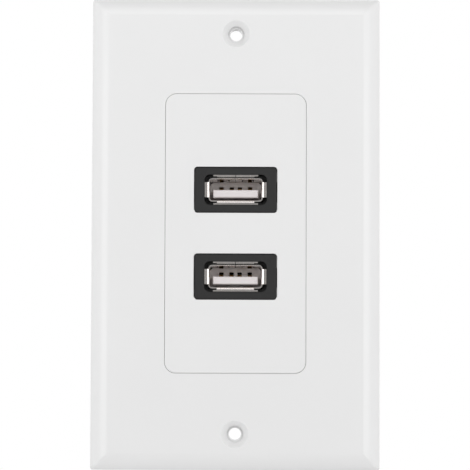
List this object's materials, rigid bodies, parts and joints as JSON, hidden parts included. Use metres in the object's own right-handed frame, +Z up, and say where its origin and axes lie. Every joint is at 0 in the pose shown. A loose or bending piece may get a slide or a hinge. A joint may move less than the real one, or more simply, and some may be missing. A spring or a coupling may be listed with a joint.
{
  "type": "usb wall plate",
  "caption": "Decorator wall plate with a flush insert that holds through USB-A sockets, one above the other, with countersunk plate screw holes and a strap for a wall box.",
  "frame": {"origin": "centre of the plate on the wall, midway between the two box screw slots", "axes": "+Z up the plate, +X to the right as seen from the front, +Y into the wall, so the front looks along -Y"},
  "size_m": [0.0698, 0.038, 0.1142],
  "materials": {
    "plate": "white moulded, semi-gloss",
    "insert": "white moulded, semi-gloss",
    "coupler": "black moulded, matte",
    "shell": "nickel plated sheet, bright with a soft grain",
    "insulator": "white moulded, satin",
    "contact": "gold flash, bright",
    "board": "green solder mask",
    "screw": "zinc plated"
  },
  "bodies": {
    "root": {"wall_plate": "plate", "insert": "insert", "coupler_screws": "screw", "upper_coupler_body": "coupler", "upper_link_board": "board", "upper_front_shell": "shell", "upper_front_insulator": "insulator", "upper_front_contact_ground": "contact", "upper_front_contact_d_plus": "contact", "upper_front_contact_d_minus": "contact", "upper_front_contact_vbus": "contact", "upper_rear_shell": "shell", "upper_rear_insulator": "insulator", "upper_rear_contact_ground": "contact", "upper_rear_contact_d_plus": "contact", "upper_rear_contact_d_minus": "contact", "upper_rear_contact_vbus": "contact", "lower_coupler_body": "coupler", "lower_link_board": "board", "lower_front_shell": "shell", "lower_front_insulator": "insulator", "lower_front_contact_ground": "contact", "lower_front_contact_d_plus": "contact", "lower_front_contact_d_minus": "contact", "lower_front_contact_vbus": "contact", "lower_rear_shell": "shell", "lower_rear_insulator": "insulator", "lower_rear_contact_ground": "contact", "lower_rear_contact_d_plus": "contact", "lower_rear_contact_d_minus": "contact", "lower_rear_contact_vbus": "contact"}
  },
  "joints": []
}
